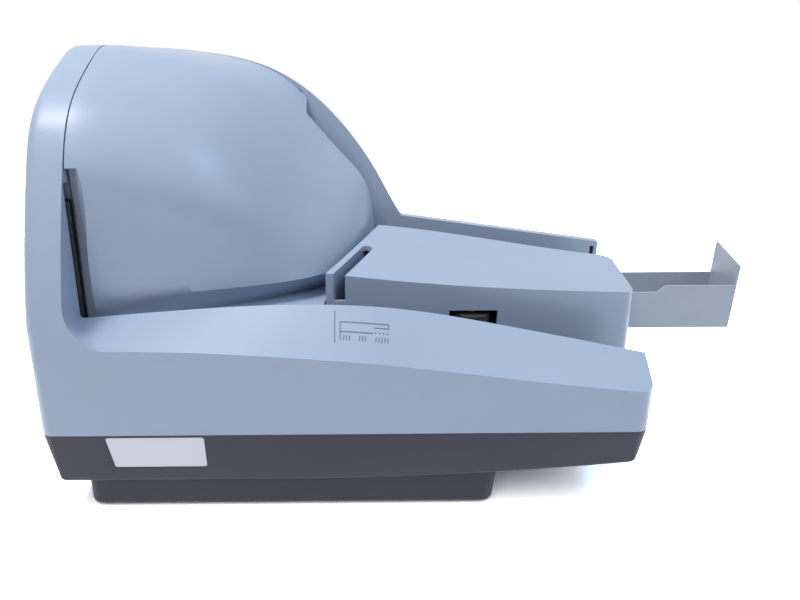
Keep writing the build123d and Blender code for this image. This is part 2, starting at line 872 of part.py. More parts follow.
deck_outline = deck_plan(0)
deck_hollow = deck_plan(wall)
with BuildPart() as deck_frame:
    with BuildSketch(Plane.XY.offset(track_floor)):
        add(deck_outline)
        add(deck_hollow, mode=Mode.SUBTRACT)
    extrude(amount=deck_top - track_floor)
    with BuildSketch(Plane.XY.offset(deck_top - wall)):
        add(deck_outline)
        with BuildLine():
            Polyline((24, 46), (58, 50), (84, 62), (102, 78), (106, 104), (24, 104), close=True)
        make_face(mode=Mode.SUBTRACT)
    extrude(amount=wall)
    for spot in (drive_front, drive_left, drive_right):
        add(post(spot, bush_radius, deck_top - wall - boss_height, deck_top - wall))
        add(
            post(spot, shaft_radius + bore_gap, deck_top - wall - boss_height - 1, deck_top - wall),
            mode=Mode.SUBTRACT,
        )
    window_low = track_floor
    window_high = roller_low + roller_height + 1
    for across, back in (drive_front, drive_left, drive_right):
        front, rear = (slot_back - 1, back) if back < island_front else (back, deck_step + 1)
        add(
            box(across - roller_radius - 1, across + roller_radius + 1, front, rear, window_low, window_high),
            mode=Mode.SUBTRACT,
        )
    head_top = track_floor + head_height + 4
    add(
        box(head_spot[0] - 7, head_spot[0] + 7, slot_back - 1, slot_back + wall + 1, track_floor, head_top),
        mode=Mode.SUBTRACT,
    )
    add(
        box(
            inner_sensor_left - fit_gap,
            inner_sensor_left + sensor_width + fit_gap,
            deck_step - wall - 20,
            deck_step + 1,
            track_floor,
            deck_top + 1,
        ),
        mode=Mode.SUBTRACT,
    )
pieces["deck_frame"] = deck_frame

# Dome cover: a domed shell over the drive with a solid tip, cut back for the exit channel
dome_outside = dome_form(0, dome_back)
dome_hollow = dome_form(wall, dome_back + 1) & box(
    dome_left + wall, dome_right - dome_tip, 0, body_depth, deck_top - 1, body_height
)
channel = box(channel_left, dome_right + 1, channel_front, body_depth, deck_top - 1, body_height)
channel_walls = box(
    channel_left - wall, dome_right + 1, channel_front - wall, body_depth, deck_top - 1, body_height
)
mouth_holes = [
    box(left - 1, left + wall + 1, exit_front, dome_back + 1, deck_top - 1, guide_top + 6)
    for left in (dome_left, channel_left - wall)
]
lead_in_corner = box(
    dome_left, deck_left + lead_in_width + wall, 0, slot_back + wall + 3, deck_top, lead_in_top + wall
)
mouth_cut = box(dome_left - 1, deck_left, 0, slot_back + 1, deck_top - 1, lead_in_top)
with BuildPart() as lead_in:
    for height, across in ((lead_in_low, 0), (lead_in_top, lead_in_width)):
        depth = across * lead_in_depth / lead_in_width
        back = slot_back - 1.2
        with BuildSketch(Plane.XY.offset(height)):
            with BuildLine():
                Polyline(
                    (deck_left - 1, back + 1 / lead_in_width * lead_in_depth - depth * 0.2),
                    (deck_left + across + 9, back - depth * 1.2 - 9 / lead_in_width * lead_in_depth),
                    (deck_left - 1, -9),
                    close=True,
                )
            make_face()
    loft(ruled=True)
with BuildPart() as dome_cover:
    add(dome_outside)
    add(dome_hollow - channel_walls - lead_in_corner, mode=Mode.SUBTRACT)
    add(channel, mode=Mode.SUBTRACT)
    add(mouth_cut, mode=Mode.SUBTRACT)
    add(lead_in.part, mode=Mode.SUBTRACT)
    for hole in mouth_holes:
        add(hole, mode=Mode.SUBTRACT)
pieces["dome_cover"] = dome_cover

# Island cover: hinged lid over the feed drive and the cartridge, with a finger notch at its left end
island_low = track_floor + fit_gap
island_outside = island_form(0, island_low)
island_inside = island_form(wall, island_low - 1)
notch_angle = degrees(atan2(island_rear - island_front, island_left_rear - island_left_front))
notch_start = (island_left_front + notch_rim + notch_width / 2, island_front - 1)
roller_window = box(
    feed_spot[0] - roller_radius - 2,
    feed_spot[0] + roller_radius + 2,
    island_front - 1,
    island_front + wall + 1,
    island_low - 1,
    roller_low + roller_height + 2,
)
nozzle_window = box(
    cartridge_corner[0] + 6,
    cartridge_corner[0] + 18,
    island_rear - wall - 1,
    island_rear + 1,
    island_low - 1,
    island_low + 16,
)
with BuildPart() as island_cover:
    add(island_outside)
    add(island_inside, mode=Mode.SUBTRACT)
    for seat in hinge_seats:
        with BuildSketch(hinge_plane(seat)):
            Circle(ear_radius)
            with Locations((0, (hinge_inset - wall) / 2)):
                Rectangle(2 * ear_radius, hinge_inset - wall + fit_gap)
        extrude(amount=ear_width)
    add(island_outside, mode=Mode.INTERSECT)
    for seat in hinge_seats:
        with BuildSketch(hinge_plane(seat)):
            Circle(axle_radius + bore_gap)
        extrude(amount=ear_width, mode=Mode.SUBTRACT)
        with BuildSketch(hinge_plane(seat + ear_width)):
            with Locations((-hinge_height / 2 + post_radius + 1, hinge_inset / 2)):
                Rectangle(hinge_height, hinge_inset + 2)
        extrude(amount=post_width + 2 * fit_gap, mode=Mode.SUBTRACT)
    with BuildSketch(hinge_plane(-hinge_inset)):
        with Locations((-hinge_height / 2, hinge_inset)):
            Rectangle(hinge_height, 2 * hinge_inset)
        Circle(hinge_height - track_floor - fit_gap, mode=Mode.SUBTRACT)
    extrude(amount=body_depth / 2, mode=Mode.SUBTRACT)
    add(roller_window, mode=Mode.SUBTRACT)
    add(nozzle_window, mode=Mode.SUBTRACT)
    with BuildSketch(Plane.XY.offset(deck_top)):
        with Locations(Location((notch_start[0], notch_start[1]), notch_angle)):
            SlotOverall(2 * notch_length, notch_width)
    extrude(amount=body_height, mode=Mode.SUBTRACT)
pieces["island_cover"] = island_cover

# Hinge pins of the island cover
with BuildPart() as hinge_pins:
    for seat in hinge_seats:
        with BuildSketch(hinge_plane(seat - 0.5)):
            Circle(axle_radius)
        extrude(amount=ear_width + fit_gap + post_width + 1)
pieces["hinge_pins"] = hinge_pins

# Exit tray: two side plates, a floor and a leaning end stop
tray_low = track_floor + fit_gap
stop_front = tray_low + tray_height + 10.6
stop_rear = tray_low + tray_height + 17.6
stop_foot = tray_end - tray_lean - tray_wall
stop_slope = tray_lean / (stop_rear - tray_low)


def stop_middle(height):
    """Middle of the leaning end stop's thickness at a height above the tray's floor."""
    return (stop_foot + tray_wall / 2 + stop_slope * height, tray_low + height)


tray_sides = (
    (tray_front, tray_height - 3.6, [(tray_step, tray_height - 3.6), (tray_step + 4, tray_height)]),
    (tray_rear - tray_wall, tray_height, []),
)
with BuildPart() as exit_tray:
    add(box(tray_left, stop_foot + tray_wall / 2, tray_front, tray_rear, tray_low, tray_low + tray_wall))
    for front, left_height, steps in tray_sides:
        with BuildSketch(Plane.XZ.offset(-front)):
            with BuildLine():
                Polyline(
                    (tray_left, tray_low),
                    (tray_left, tray_low + left_height),
                    *[(across, tray_low + height) for across, height in steps],
                    stop_middle(tray_height),
                    stop_middle(0),
                    close=True,
                )
            make_face()
        extrude(amount=-tray_wall)
    with BuildSketch(Plane.XZ.offset(-tray_front)):
        with BuildLine():
            Polyline(
                (stop_foot, tray_low),
                (stop_foot + tray_wall, tray_low),
                (tray_end, stop_rear),
                (tray_end - tray_wall, stop_rear),
                close=True,
            )
        make_face()
    extrude(amount=-(tray_rear - tray_front))
    with BuildSketch(Plane.YZ.offset(stop_foot - 1)) as beyond:
        Rectangle(2 * body_depth, 2 * body_height)
        with BuildLine():
            Polyline(
                (tray_front, 0),
                (tray_rear, 0),
                (tray_rear, stop_rear),
                (tray_front, stop_front),
                close=True,
            )
        make_face(mode=Mode.SUBTRACT)
        inner_corners = [v for v in beyond.vertices() if stop_front - 1 < v.Z < stop_rear + 1]
        fillet(inner_corners, 2)
    extrude(amount=tray_end, mode=Mode.SUBTRACT)
pieces["exit_tray"] = exit_tray

# Turn guides: two thin walls that lead the documents round the left end
inner_distance = track_gap / 2 + guide_wall / 2
outer_plan = track_wall(-inner_distance, guide_wall, guide_end)
inner_plan = track_wall(inner_distance, guide_wall, guide_end)
guide_windows = []
for across, back in (drive_left, drive_right):
    guide_windows.append(
        box(across - roller_radius - 1, across + roller_radius + 1, rear_track - 6, rear_track + 6, track_floor, window_high)
    )
for left in (inner_sensor_left, outer_sensor_left):
    sides = (rear_track - 6, rear_track) if left == inner_sensor_left else (rear_track, rear_track + 6)
    guide_windows.append(
        box(left - fit_gap, left + sensor_width + fit_gap, *sides, track_floor - 1, guide_top + 1)
    )
for name, plan in (("outer_track_guide", outer_plan), ("inner_track_guide", inner_plan)):
    with BuildPart() as guide:
        with BuildSketch(Plane.XY.offset(track_floor)):
            add(plan)
        extrude(amount=guide_top - track_floor)
        for window in guide_windows:
            add(window, mode=Mode.SUBTRACT)
    pieces[name] = guide

# Image sensors: a tall bar on each side of the rear straight, each behind its own glass
for name, left, front, back, glass_front in (
    ("inner", inner_sensor_left, rear_track - 14, rear_track - track_gap / 2 - glass_thickness, -1),
    ("outer", outer_sensor_left, rear_track + track_gap / 2 + glass_thickness, body_depth - wall - fit_gap, 1),
):
    with BuildPart() as sensor:
        add(box(left, left + sensor_width, front, back, track_floor, track_floor + sensor_height))
    pieces[name + "_image_sensor"] = sensor
    near = back if glass_front < 0 else front - glass_thickness
    with BuildPart() as glass:
        add(box(left + 0.5, left + sensor_width - 0.5, near, near + glass_thickness, track_floor + 1, track_floor + sensor_height - 1))
    pieces[name + "_sensor_glass"] = glass

# Driven rollers: a rubber sleeve, its shaft and the pulley under the deck
shaft_tops = {
    "front_drive": (drive_front, deck_top - wall - fit_gap),
    "left_drive": (drive_left, deck_top - wall - fit_gap),
    "right_drive": (drive_right, deck_top - wall - fit_gap),
    "feed": (feed_spot, deck_top - wall - fit_gap),
}
for name, (spot, top) in shaft_tops.items():
    with BuildPart() as roller:
        add(post(spot, roller_radius, roller_low, roller_low + roller_height))
        add(post(spot, shaft_radius, roller_low - 1, roller_low + roller_height + 1), mode=Mode.SUBTRACT)
        chamfer(roller.edges().filter_by(lambda e: e.length > 6.2 * roller_radius), 0.6)
    pieces[name + "_roller"] = roller
    with BuildPart() as shaft:
        add(post(spot, shaft_radius, shaft_low, top))
        chamfer(shaft.edges().filter_by(GeomType.CIRCLE), 0.4)
    pieces[name + "_shaft"] = shaft


def pulley_solid(spot, radius, bore):
    """Flanged pulley on a shaft."""
    with BuildPart() as pulley:
        add(post(spot, radius, pulley_low, pulley_low + pulley_height))
        add(post(spot, radius + belt_thickness, pulley_low, pulley_low + flange))
        add(post(spot, radius + belt_thickness, pulley_low + pulley_height - flange, pulley_low + pulley_height))
        add(post(spot, bore, pulley_low - 1, pulley_low + pulley_height + 1), mode=Mode.SUBTRACT)
    return pulley


for name, (spot, top) in shaft_tops.items():
    pieces[name + "_pulley"] = pulley_solid(spot, pulley_radius, shaft_radius)

# Bushes in the track base, one round each driven shaft
with BuildPart() as shaft_bushes:
    for spot in shaft_spots:
        add(post(spot, bush_radius, track_floor - floor_skin, track_floor))
        add(post(spot, bush_radius + 1, track_floor, track_floor + bush_flange))
    for spot in shaft_spots:
        add(post(spot, shaft_radius + bore_gap, track_floor - 4, track_floor + 4), mode=Mode.SUBTRACT)
pieces["shaft_bushes"] = shaft_bushes

# Motors: a large one for the track and a small one for the feed roller, each with its pulley
for name, spot, radius, height in (
    ("drive", motor_spot, motor_radius, motor_height),
    ("feed", feed_motor_spot, feed_motor_radius, feed_motor_height),
):
    can_low = track_floor + motor_stand
    with BuildPart() as motor:
        add(post(spot, radius, can_low, can_low + height))
        chamfer(motor.edges().group_by(Axis.Z)[-1], 1.5)
        add(box(spot[0] - radius, spot[0] + radius, spot[1] - radius / 2, spot[1] + radius / 2, track_floor, can_low))
        add(post(spot, bush_radius - 1, track_floor - 1, can_low + 1), mode=Mode.SUBTRACT)
        add(post(spot, shaft_radius - 1 + bore_gap, can_low, can_low + 8), mode=Mode.SUBTRACT)
    pieces[name + "_motor"] = motor
    with BuildPart() as spindle:
        add(post(spot, shaft_radius - 1, shaft_low, can_low + 7.5))
    pieces[name + "_motor_spindle"] = spindle
    pieces[name + "_motor_pulley"] = pulley_solid(spot, motor_pulley_radius, shaft_radius - 1)

drive_train = [(drive_front, pulley_radius), (drive_left, pulley_radius), (drive_right, pulley_radius)]
pieces["drive_belt"] = belt_part(drive_train + [(motor_spot, motor_pulley_radius)])
pieces["feed_belt"] = belt_part([(feed_spot, pulley_radius), (feed_motor_spot, motor_pulley_radius)])

# Feed bridge: a bent plate that carries the top of the feed roller's shaft
bridge_low = roller_low + roller_height + 1.2
with BuildPart() as feed_bridge:
    add(box(feed_spot[0] - 7, feed_spot[0] + 7, feed_spot[1] - 3.7, feed_spot[1] + 14, bridge_low, bridge_low + 2.2))
    add(box(feed_spot[0] - 7, feed_spot[0] + 7, feed_spot[1] + 12, feed_spot[1] + 14, track_floor, bridge_low + 1))
    add(post(feed_spot, shaft_radius + bore_gap, bridge_low - 1, bridge_low + 5), mode=Mode.SUBTRACT)
pieces["feed_bridge"] = feed_bridge

# Free rollers pressed on the driven ones, on pins held by small brackets
free_rollers = {
    "front_pinch": (pinch_front, -1),
    "left_pinch": (pinch_left, 1),
    "right_pinch": (pinch_right, 1),
    "head": (head_spot, 1),
}
free_low = track_floor + 2.3
free_heights = {"head": 12.0}
with BuildPart() as roller_brackets:
    for name, (spot, side) in free_rollers.items():
        top = free_low + free_heights.get(name, roller_height) + fit_gap
        reach = side * (pinch_radius + 1)
        web = sorted((spot[1] + reach, spot[1] + reach + side * 1.6))
        plate = sorted((spot[1] - side * 3, spot[1] + reach + side * 1.6))
        add(box(spot[0] - 3.5, spot[0] + 3.5, web[0], web[1], track_floor, top + 1.6))
        add(box(spot[0] - 3.5, spot[0] + 3.5, plate[0], plate[1], track_floor, free_low - fit_gap))
        add(box(spot[0] - 3.5, spot[0] + 3.5, plate[0], plate[1], top, top + 1.6))
        add(post(spot, axle_radius, track_floor - 1, top + 5), mode=Mode.SUBTRACT)
pieces["roller_brackets"] = roller_brackets

with BuildPart() as roller_pins:
    for name, (spot, side) in free_rollers.items():
        top = free_low + free_heights.get(name, roller_height) + fit_gap
        add(post(spot, axle_radius, track_floor, top + 1.6))
pieces["roller_pins"] = roller_pins

for name, (spot, side) in free_rollers.items():
    height = free_heights.get(name, roller_height)
    with BuildPart() as roller:
        add(post(spot, pinch_radius, free_low, free_low + height))
        add(post(spot, axle_radius + bore_gap, free_low - 1, free_low + height + 1), mode=Mode.SUBTRACT)
    pieces[name + "_roller"] = roller

# Magnetic character head and the magnet before it, in the front rail
for name, left in (("magnetic_head", head_left), ("ink_magnet", magnet_left)):
    with BuildPart() as head:
        add(box(left, left + head_width, rail_depth - 11, rail_depth - fit_gap, track_floor, track_floor + head_height))
        chamfer(head.edges().filter_by(Axis.Z), 0.8)
    pieces[name] = head

# Print cartridge in its holder, facing the exit pocket
holder_wall = 1.5
c_left, c_front = cartridge_corner
c_width, c_depth, c_height = cartridge
with BuildPart() as cartridge_holder:
    add(
        box(
            c_left - holder_wall - fit_gap,
            c_left + c_width + holder_wall + fit_gap,
            c_front - holder_wall - fit_gap,
            c_front + c_depth - 6,
            track_floor,
            track_floor + 20,
        )
    )
    add(
        box(c_left - fit_gap, c_left + c_width + fit_gap, c_front - fit_gap, c_front + c_depth, track_floor + 1.5, 80),
        mode=Mode.SUBTRACT,
    )
pieces["cartridge_holder"] = cartridge_holder

with BuildPart() as print_cartridge:
    add(box(c_left, c_left + c_width, c_front, c_front + c_depth - 6, track_floor + 1.5, track_floor + c_height))
    add(box(c_left + 8, c_left + 16, c_front, c_front + c_depth - 2, track_floor + 1.5, track_floor + 14))
    chamfer(print_cartridge.edges().group_by(Axis.Z)[-1], 1)
pieces["print_cartridge"] = print_cartridge

# Pusher: a sprung arm on a pin that presses the waiting documents on the feed roller
pusher_dir = Vector(-cos(radians(pusher_angle)), sin(radians(pusher_angle)), 0)
pusher_low = track_floor + fit_gap
pusher_plane = Plane(
    origin=(pusher_pivot[0], pusher_pivot[1], pusher_low), x_dir=pusher_dir, z_dir=(0, 0, 1)
)
with BuildPart() as document_pusher:
    with BuildSketch(pusher_plane):
        with Locations((pusher_length / 2, 0)):
            Rectangle(pusher_length, pusher_plate)
        Circle(axle_radius + 1.5)
        Circle(axle_radius + bore_gap, mode=Mode.SUBTRACT)
    extrude(amount=pusher_height)
pieces["document_pusher"] = document_pusher

with BuildPart() as pusher_pad:
    with BuildSketch(pusher_plane.offset(2)):
        with Locations((pusher_length - 8, -(pusher_plate + pad_thickness) / 2)):
            Rectangle(16, pad_thickness)
    extrude(amount=pusher_height - 4)
pieces["pusher_pad"] = pusher_pad

with BuildPart() as pusher_pin:
    add(post(pusher_pivot, axle_radius, track_floor, pusher_low + pusher_height + 1))
    add(post(pusher_pivot, axle_radius + 1, pusher_low + pusher_height + fit_gap, pusher_low + pusher_height + 1.3))
pieces["pusher_pin"] = pusher_pin

# Write every piece, moved so that the origin is under the middle of the whole object
middle = Pos(-(tray_end + left_face) / 2, -body_depth / 2, 0)
for name, piece in pieces.items():
    placed = middle * piece.part
    placed.label = name
    export_step(placed, f"parts/{name}.step")
print(len(pieces), "pieces written")
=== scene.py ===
"""Looks of the desk-top document scanner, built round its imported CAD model.

Metres, +X right, +Y back, +Z up.
"""

import json
import logging
import math
from dataclasses import dataclass
from enum import Enum

import bmesh
import bpy
import numpy as np
from mathutils import Matrix, Vector

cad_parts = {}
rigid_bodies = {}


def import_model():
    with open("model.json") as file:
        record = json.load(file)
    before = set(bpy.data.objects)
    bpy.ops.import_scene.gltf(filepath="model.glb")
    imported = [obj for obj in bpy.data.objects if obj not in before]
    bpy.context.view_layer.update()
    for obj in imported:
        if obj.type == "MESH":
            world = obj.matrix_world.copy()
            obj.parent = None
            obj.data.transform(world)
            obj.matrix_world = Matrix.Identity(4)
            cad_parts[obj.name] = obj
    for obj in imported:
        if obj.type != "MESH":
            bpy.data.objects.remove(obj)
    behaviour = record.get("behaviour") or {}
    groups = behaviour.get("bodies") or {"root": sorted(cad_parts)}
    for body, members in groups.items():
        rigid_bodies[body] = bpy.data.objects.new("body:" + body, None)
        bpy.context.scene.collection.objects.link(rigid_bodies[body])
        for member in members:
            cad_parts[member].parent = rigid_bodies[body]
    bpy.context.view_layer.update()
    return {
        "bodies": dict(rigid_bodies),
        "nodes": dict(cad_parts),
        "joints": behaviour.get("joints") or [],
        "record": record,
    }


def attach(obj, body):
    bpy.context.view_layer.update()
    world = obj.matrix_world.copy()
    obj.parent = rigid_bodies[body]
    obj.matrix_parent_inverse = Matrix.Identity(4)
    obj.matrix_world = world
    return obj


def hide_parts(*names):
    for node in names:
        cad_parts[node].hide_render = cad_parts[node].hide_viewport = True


LOG = logging.getLogger("document_scanner")
MM = 0.001
# From the part's middle to the casing's left end and to its front face, in millimetres.
HALF_LENGTH = 166.0
HALF_DEPTH = 72.0
# Corners of a copy closer than this, in millimetres, are one.
MERGE_DISTANCE = 0.002
# Height of a finish's relief in millimetres, the scale of its broad clouding, the fine grain's
# share in its colour, and how far its roughness strays either way.
RELIEF_HEIGHT = 0.06
BROAD_GRAIN = 28.0
FINE_SHARE = 0.35
ROUGHNESS_SPREAD = 0.025

Colour = tuple[float, float, float]


def srgb(red: int, green: int, blue: int) -> Colour:
    """Turn a colour written as 0 to 255 screen values into linear light.

    Args:
        red: Red value.
        green: Green value.
        blue: Blue value.

    Returns:
        The same colour as three linear shares.
    """
    shares = np.array([red, green, blue]) / 255.0
    linear = np.where(shares <= 0.04045, shares / 12.92, ((shares + 0.055) / 1.055) ** 2.4)
    return tuple(float(value) for value in linear)


class Texture(Enum):
    """Kinds of surface relief that a finish can have."""

    SPARK = "fine spark-eroded mould texture"
    SMOOTH = "smooth moulded face with faint unevenness"
    GROUND = "fine lines left by grinding"
    FELT = "matted short fibres"
    RUBBER = "dull, slightly grainy rubber"


@dataclass(frozen=True)
class Finish:
    """One finish: its colour, how it varies, and the relief of its surface."""

    name: str
    colour: Colour
    roughness: float
    texture: Texture = Texture.SPARK
    metallic: float = 0.0
    relief: float = 0.25
    variation: float = 0.04
    specular: float = 0.5
    coat: float = 0.0
    alpha: float = 1.0
    transmission: float = 0.0

    def build(self) -> bpy.types.Material:
        """Make the finish's node material on object coordinates.

        Returns:
            The new material.
        """
        material = bpy.data.materials.new(self.name)
        material.use_nodes = True
        nodes = material.node_tree.nodes
        links = material.node_tree.links
        nodes.clear()
        output = nodes.new("ShaderNodeOutputMaterial")
        shader = nodes.new("ShaderNodeBsdfPrincipled")
        links.new(shader.outputs["BSDF"], output.inputs["Surface"])
        shader.inputs["Metallic"].default_value = self.metallic
        shader.inputs["Specular IOR Level"].default_value = self.specular
        shader.inputs["Coat Weight"].default_value = self.coat
        shader.inputs["Alpha"].default_value = self.alpha
        shader.inputs["Transmission Weight"].default_value = self.transmission
        place = nodes.new("ShaderNodeTexCoord")
        scale = nodes.new("ShaderNodeMapping")
        links.new(place.outputs["Object"], scale.inputs["Vector"])
        fine, broad = self._relief_noises(nodes, links, scale)
        self._colour(nodes, links, shader, fine, broad)
        self._roughness(nodes, links, shader, broad)
        bump = nodes.new("ShaderNodeBump")
        bump.inputs["Strength"].default_value = self.relief
        bump.inputs["Distance"].default_value = RELIEF_HEIGHT * MM
        links.new(fine.outputs["Fac"], bump.inputs["Height"])
        links.new(bump.outputs["Normal"], shader.inputs["Normal"])
        return material

    def _relief_noises(
        self,
        nodes: bpy.types.Nodes,
        links: bpy.types.NodeLinks,
        scale: bpy.types.Node,
    ) -> tuple[bpy.types.Node, bpy.types.Node]:
        """Make the fine noise of the relief and the broad noise of the colour.

        Args:
            nodes: The material's nodes.
            links: The material's links.
            scale: Mapping node that both noises read.

        Returns:
            The fine and the broad noise node.
        """
        grain = {
            Texture.SPARK: 2600.0,
            Texture.SMOOTH: 500.0,
            Texture.GROUND: 1500.0,
            Texture.FELT: 1800.0,
            Texture.RUBBER: 1400.0,
        }[self.texture]
        fine = nodes.new("ShaderNodeTexNoise")
        fine.inputs["Scale"].default_value = grain
        fine.inputs["Detail"].default_value = 3.0
        fine.inputs["Roughness"].default_value = 0.6
        broad = nodes.new("ShaderNodeTexNoise")
        broad.inputs["Scale"].default_value = BROAD_GRAIN
        broad.inputs["Detail"].default_value = 4.0
        if self.texture is Texture.GROUND:
            scale.inputs["Scale"].default_value = (1.0, 1.0, 0.05)
        links.new(scale.outputs["Vector"], fine.inputs["Vector"])
        links.new(scale.outputs["Vector"], broad.inputs["Vector"])
        return fine, broad

    def _colour(
        self,
        nodes: bpy.types.Nodes,
        links: bpy.types.NodeLinks,
        shader: bpy.types.Node,
        fine: bpy.types.Node,
        broad: bpy.types.Node,
    ) -> None:
        """Vary the colour a little with both noises and drive the shader's base colour.

        Args:
            nodes: The material's nodes.
            links: The material's links.
            shader: Principled shader.
            fine: Fine noise node.
            broad: Broad noise node.
        """
        low = tuple(value * (1.0 - self.variation) for value in self.colour)
        high = tuple(min(value * (1.0 + self.variation), 1.0) for value in self.colour)
        blend = nodes.new("ShaderNodeMix")
        blend.data_type = "FLOAT"
        blend.inputs[0].default_value = FINE_SHARE
        links.new(broad.outputs["Fac"], blend.inputs[2])
        links.new(fine.outputs["Fac"], blend.inputs[3])
        ramp = nodes.new("ShaderNodeValToRGB")
        ramp.color_ramp.elements[0].position = 0.35
        ramp.color_ramp.elements[0].color = (*low, 1.0)
        ramp.color_ramp.elements[1].position = 0.65
        ramp.color_ramp.elements[1].color = (*high, 1.0)
        links.new(blend.outputs[0], ramp.inputs["Fac"])
        links.new(ramp.outputs["Color"], shader.inputs["Base Color"])

    def _roughness(
        self,
        nodes: bpy.types.Nodes,
        links: bpy.types.NodeLinks,
        shader: bpy.types.Node,
        broad: bpy.types.Node,
    ) -> None:
        """Vary the roughness a little with the broad noise.

        Args:
            nodes: The material's nodes.
            links: The material's links.
            shader: Principled shader.
            broad: Broad noise node.
        """
        spread = nodes.new("ShaderNodeMapRange")
        spread.inputs["From Min"].default_value = 0.3
        spread.inputs["From Max"].default_value = 0.7
        spread.inputs["To Min"].default_value = self.roughness - ROUGHNESS_SPREAD
        spread.inputs["To Max"].default_value = min(self.roughness + ROUGHNESS_SPREAD, 1.0)
        links.new(broad.outputs["Fac"], spread.inputs["Value"])
        links.new(spread.outputs["Result"], shader.inputs["Roughness"])


class FinishBook:
    """Every finish of the machine, each built once and looked up by its material slot."""

    FINISHES = {
        "casing": Finish(
            "casing_plastic", srgb(150, 164, 186), 0.36, relief=0.22, variation=0.02, specular=0.42
        ),
        "housing": Finish(
            "housing_plastic", srgb(56, 54, 65), 0.58, relief=0.45, variation=0.05, specular=0.18
        ),
        "guide_black": Finish("guide_plastic", srgb(24, 24, 28), 0.4),
        "tray_grey": Finish("tray_plastic", srgb(160, 169, 184), 0.5, relief=0.3, variation=0.03),
        "rubber_black": Finish("rubber_black", srgb(34, 34, 36), 0.75, Texture.RUBBER, relief=0.5),
        "rubber_grey": Finish("rubber_grey", srgb(96, 96, 100), 0.7, Texture.RUBBER, relief=0.4),
        "steel": Finish("turned_steel", srgb(178, 180, 184), 0.28, Texture.GROUND, 1.0, 0.2),
        "zinc_steel": Finish("zinc_steel", srgb(168, 172, 178), 0.4, Texture.GROUND, 1.0, 0.25, 0.08),
        "bush_brass": Finish("bush_brass", srgb(190, 150, 82), 0.35, Texture.GROUND, 1.0, 0.2),
        "pulley_white": Finish("pulley_plastic", srgb(214, 214, 208), 0.45, Texture.SMOOTH),
        "board_green": Finish("board_mask", srgb(22, 84, 50), 0.3, Texture.SMOOTH, variation=0.1),
        "chip_black": Finish("chip_plastic", srgb(32, 32, 34), 0.55),
        "socket_black": Finish("socket_plastic", srgb(26, 26, 28), 0.35, Texture.SMOOTH),
        "label": Finish("label_plate", srgb(224, 228, 238), 0.4, Texture.SMOOTH, variation=0.004),
        "sensor_black": Finish("sensor_plastic", srgb(30, 30, 33), 0.45),
        "sensor_glass": Finish(
            "sensor_glass", srgb(205, 222, 226), 0.06, Texture.SMOOTH, relief=0.02, alpha=0.35
        ),
        "motor_can": Finish("motor_can", srgb(150, 152, 156), 0.33, Texture.GROUND, 1.0, 0.2),
        "head_metal": Finish("head_metal", srgb(190, 190, 192), 0.2, Texture.GROUND, 1.0, 0.15),
        "felt_pad": Finish("felt_pad", srgb(60, 60, 64), 0.95, Texture.FELT, relief=0.8, variation=0.15),
        "rail_ink": Finish("rail_ink", srgb(92, 100, 118), 0.5, Texture.SMOOTH, relief=0.02),
        "cartridge_black": Finish("cartridge_plastic", srgb(38, 38, 42), 0.4),
    }

    def __init__(self) -> None:
        """Start with no finish built."""
        self._built: dict[str, bpy.types.Material] = {}

    def get(self, slot: str) -> bpy.types.Material:
        """Return the material of a slot, built at its first use."""
        if slot not in self._built:
            self._built[slot] = self.FINISHES[slot].build()
        return self._built[slot]


@dataclass
class MouldedCopy:
    """A moulded piece that keeps its CAD node's form and gets rounded edges and smooth shading."""

    node: str
    edge_radius: float = 0.5
    segments: int = 2
    smooth_angle: float = 28.0
    flat_angle: float = 0.25

    def build(self, piece_name: str) -> bpy.types.Object:
        """Merge a copy of the node's loose triangles, join its flat faces and round its outward edges.

        Args:
            piece_name: Name of the new piece.

        Returns:
            The new object.
        """
        source = bpy.data.objects[self.node]
        work = bmesh.new()
        work.from_mesh(source.data)
        bmesh.ops.remove_doubles(work, verts=work.verts, dist=MERGE_DISTANCE * MM)
        bmesh.ops.dissolve_limit(
            work, angle_limit=math.radians(self.flat_angle), verts=work.verts, edges=work.edges
        )
        weights = work.edges.layers.float.new("bevel_weight_edge")
        for edge in work.edges:
            if len(edge.link_faces) == 2:
                bend = math.degrees(edge.calc_face_angle_signed(0.0))
                edge[weights] = 1.0 if bend > self.smooth_angle else 0.0
        mesh = bpy.data.meshes.new(piece_name)
        work.to_mesh(mesh)
        work.free()
        for layer in ("custom_normal", "sharp_edge", "sharp_face"):
            if layer in mesh.attributes:
                mesh.attributes.remove(mesh.attributes[layer])
        mesh.shade_smooth()
        mesh.set_sharp_from_angle(angle=math.radians(self.smooth_angle))
        piece = bpy.data.objects.new(piece_name, mesh)
        bpy.context.scene.collection.objects.link(piece)
        if self.edge_radius > 0:
            bevel = piece.modifiers.new("edge_rounding", "BEVEL")
            bevel.width = self.edge_radius * MM
            bevel.segments = self.segments
            bevel.limit_method = "WEIGHT"
            bevel.use_clamp_overlap = True
            bevel.harden_normals = True
        return piece


